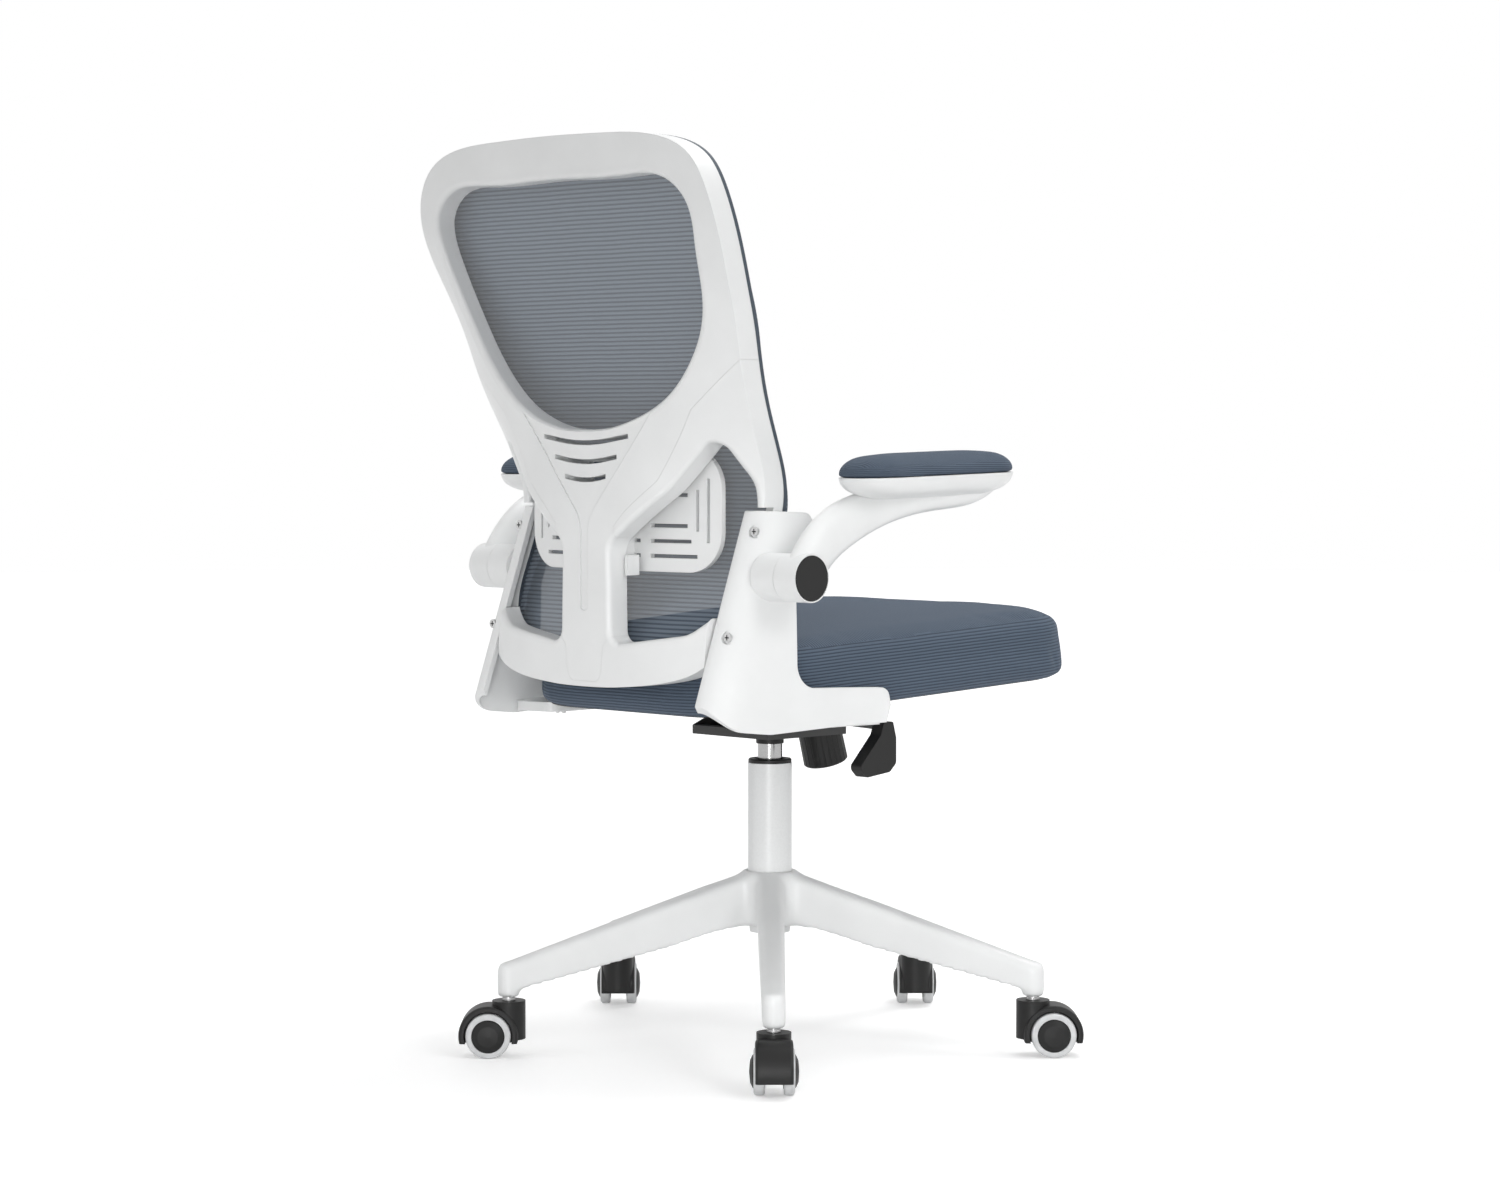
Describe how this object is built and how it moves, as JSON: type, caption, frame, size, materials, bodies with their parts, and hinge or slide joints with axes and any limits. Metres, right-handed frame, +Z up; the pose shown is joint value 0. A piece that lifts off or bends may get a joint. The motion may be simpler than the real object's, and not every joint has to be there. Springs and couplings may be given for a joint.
{
  "type": "office chair",
  "caption": "Swivel office chair on a caster star base, with a mesh back on a white loop and Y spine, flip-up arms, padded seat, gas lift and tilt.",
  "frame": {"origin": "on the floor under the swivel axis", "axes": "+Z up along the swivel axis, chair facing -Y, its right arm at -X"},
  "size_m": [0.6751, 0.683, 1.004],
  "materials": {
    "white_plastic": "satin white moulded plastic",
    "white_steel": "white powder coat",
    "black_plastic": "fine-grained black plastic",
    "black_steel": "black powder coat",
    "grey_tyre": "light grey soft tread",
    "bright_steel": "plain bright steel",
    "chrome": "polished chrome",
    "plywood": "bare moulded plywood",
    "fabric": "blue-grey ribbed upholstery",
    "mesh": "blue-grey ribbed mesh",
    "carrier": "dark blue-grey plastic edge strip"
  },
  "bodies": {
    "base": {"base_star": "white_plastic", "caster_stems": "bright_steel", "column_tube": "white_steel", "guide_bush": "black_plastic", "thrust_bearing": "bright_steel"},
    "rod": {"piston_rod": "bright_steel", "rod_clip": "bright_steel"},
    "lift": {"gas_cylinder": "chrome", "dust_ring": "black_plastic", "mech_housing": "black_steel", "tilt_axle": "bright_steel", "tension_spring": "bright_steel"},
    "valve_pin": {"release_pin": "bright_steel"},
    "slider": {"lock_slider": "black_plastic"},
    "lever": {"lever_rod": "black_steel", "lever_paddle": "black_plastic"},
    "seat": {"seat_plate": "black_steel", "seat_pan": "plywood", "seat_cushion": "fabric", "seat_bolts": "bright_steel", "bracket_right": "white_plastic", "bracket_left": "white_plastic", "back_screws": "bright_steel", "foot_bolts": "bright_steel", "back_frame_upper": "white_plastic", "back_frame_lower": "white_plastic", "mesh_carrier": "carrier", "back_mesh": "mesh", "tension_bolt": "bright_steel"},
    "knob": {"tension_knob": "black_plastic"},
    "lumbar": {"lumbar_pad": "white_plastic"},
    "right_arm": {"arm_right": "white_plastic", "arm_pad_right": "fabric", "arm_cap_right": "black_plastic", "arm_pin_right": "bright_steel"},
    "left_arm": {"arm_left": "white_plastic", "arm_pad_left": "fabric", "arm_cap_left": "black_plastic", "arm_pin_left": "bright_steel"},
    "caster_1": {"caster_1_hood": "black_plastic"},
    "wheels_1": {"caster_1_axle": "bright_steel", "caster_1_wheels": "black_plastic", "caster_1_tyres": "grey_tyre"},
    "caster_2": {"caster_2_hood": "black_plastic"},
    "wheels_2": {"caster_2_axle": "bright_steel", "caster_2_wheels": "black_plastic", "caster_2_tyres": "grey_tyre"},
    "caster_3": {"caster_3_hood": "black_plastic"},
    "wheels_3": {"caster_3_axle": "bright_steel", "caster_3_wheels": "black_plastic", "caster_3_tyres": "grey_tyre"},
    "caster_4": {"caster_4_hood": "black_plastic"},
    "wheels_4": {"caster_4_axle": "bright_steel", "caster_4_wheels": "black_plastic", "caster_4_tyres": "grey_tyre"},
    "caster_5": {"caster_5_hood": "black_plastic"},
    "wheels_5": {"caster_5_axle": "bright_steel", "caster_5_wheels": "black_plastic", "caster_5_tyres": "grey_tyre"}
  },
  "joints": [
    {"name": "seat_swivel", "type": "hinge", "parent": "base", "child": "rod", "pos_m": [0, 0, 0.2], "axis": [0, 0, 1], "continuous": true},
    {"name": "lift", "type": "slide", "parent": "rod", "child": "lift", "axis": [0, 0, 1], "range_m": [0, 0.1]},
    {"name": "seat_tilt", "type": "hinge", "parent": "lift", "child": "seat", "pos_m": [0, -0.038, 0.372], "axis": [-1, 0, 0], "range_deg": [0, 12], "stiffness_Nm_per_rad": 70, "springref_deg": -34.38, "deforming": ["tension_spring"]},
    {"name": "knob_turn", "type": "hinge", "parent": "seat", "child": "knob", "pos_m": [0, -0.09, 0.313], "axis": [0, 0.2756, 0.9613], "range_deg": [-720, 720]},
    {"name": "tilt_lock", "type": "slide", "parent": "lift", "child": "slider", "axis": [-1, 0, 0], "range_m": [0, 0.012]},
    {"name": "lever_lift", "type": "hinge", "parent": "slider", "child": "lever", "pos_m": [-0.058, 0.01, 0.37436], "axis": [0, 1, 0], "range_deg": [0, 2]},
    {"name": "valve_press", "type": "slide", "parent": "lift", "child": "valve_pin", "axis": [0, 0, -1], "range_m": [0, 0.003]},
    {"name": "lumbar_height", "type": "slide", "parent": "seat", "child": "lumbar", "axis": [0, 0, 1], "range_m": [-0.045, 0]},
    {"name": "right_arm_flip", "type": "hinge", "parent": "seat", "child": "right_arm", "pos_m": [-0.248, 0.196, 0.5395], "axis": [-1, 0, 0], "range_deg": [0, 90]},
    {"name": "left_arm_flip", "type": "hinge", "parent": "seat", "child": "left_arm", "pos_m": [0.248, 0.196, 0.5395], "axis": [-1, 0, 0], "range_deg": [0, 90]},
    {"name": "caster_1_swivel", "type": "hinge", "parent": "base", "child": "caster_1", "pos_m": [-0.22204, 0.20997, 0.06], "axis": [0, 0, 1], "continuous": true},
    {"name": "wheels_1_roll", "type": "hinge", "parent": "caster_1", "child": "wheels_1", "pos_m": [-0.23803, 0.22509, 0.025], "axis": [-0.6871, -0.7266, 0], "continuous": true},
    {"name": "caster_2_swivel", "type": "hinge", "parent": "base", "child": "caster_2", "pos_m": [-0.26831, -0.14629, 0.06], "axis": [0, 0, 1], "continuous": true},
    {"name": "wheels_2_roll", "type": "hinge", "parent": "caster_2", "child": "wheels_2", "pos_m": [-0.28343, -0.16227, 0.025], "axis": [0.7266, -0.6871, 0], "continuous": true},
    {"name": "caster_3_swivel", "type": "hinge", "parent": "base", "child": "caster_3", "pos_m": [0.05622, -0.30039, 0.06], "axis": [0, 0, 1], "continuous": true},
    {"name": "wheels_3_roll", "type": "hinge", "parent": "caster_3", "child": "wheels_3", "pos_m": [0.0722, -0.3155, 0.025], "axis": [0.6871, 0.7266, 0], "continuous": true},
    {"name": "caster_4_swivel", "type": "hinge", "parent": "base", "child": "caster_4", "pos_m": [0.30306, -0.03936, 0.06], "axis": [0, 0, 1], "continuous": true},
    {"name": "wheels_4_roll", "type": "hinge", "parent": "caster_4", "child": "wheels_4", "pos_m": [0.31904, -0.05448, 0.025], "axis": [0.6871, 0.7266, 0], "continuous": true},
    {"name": "caster_5_swivel", "type": "hinge", "parent": "base", "child": "caster_5", "pos_m": [0.13108, 0.27606, 0.06], "axis": [0, 0, 1], "continuous": true},
    {"name": "wheels_5_roll", "type": "hinge", "parent": "caster_5", "child": "wheels_5", "pos_m": [0.1462, 0.29204, 0.025], "axis": [-0.7266, 0.6871, 0], "continuous": true}
  ],
  "couplings": [
    {"joint": "valve_press", "follows": "lever_lift", "m_per_rad": 0.058}
  ]
}
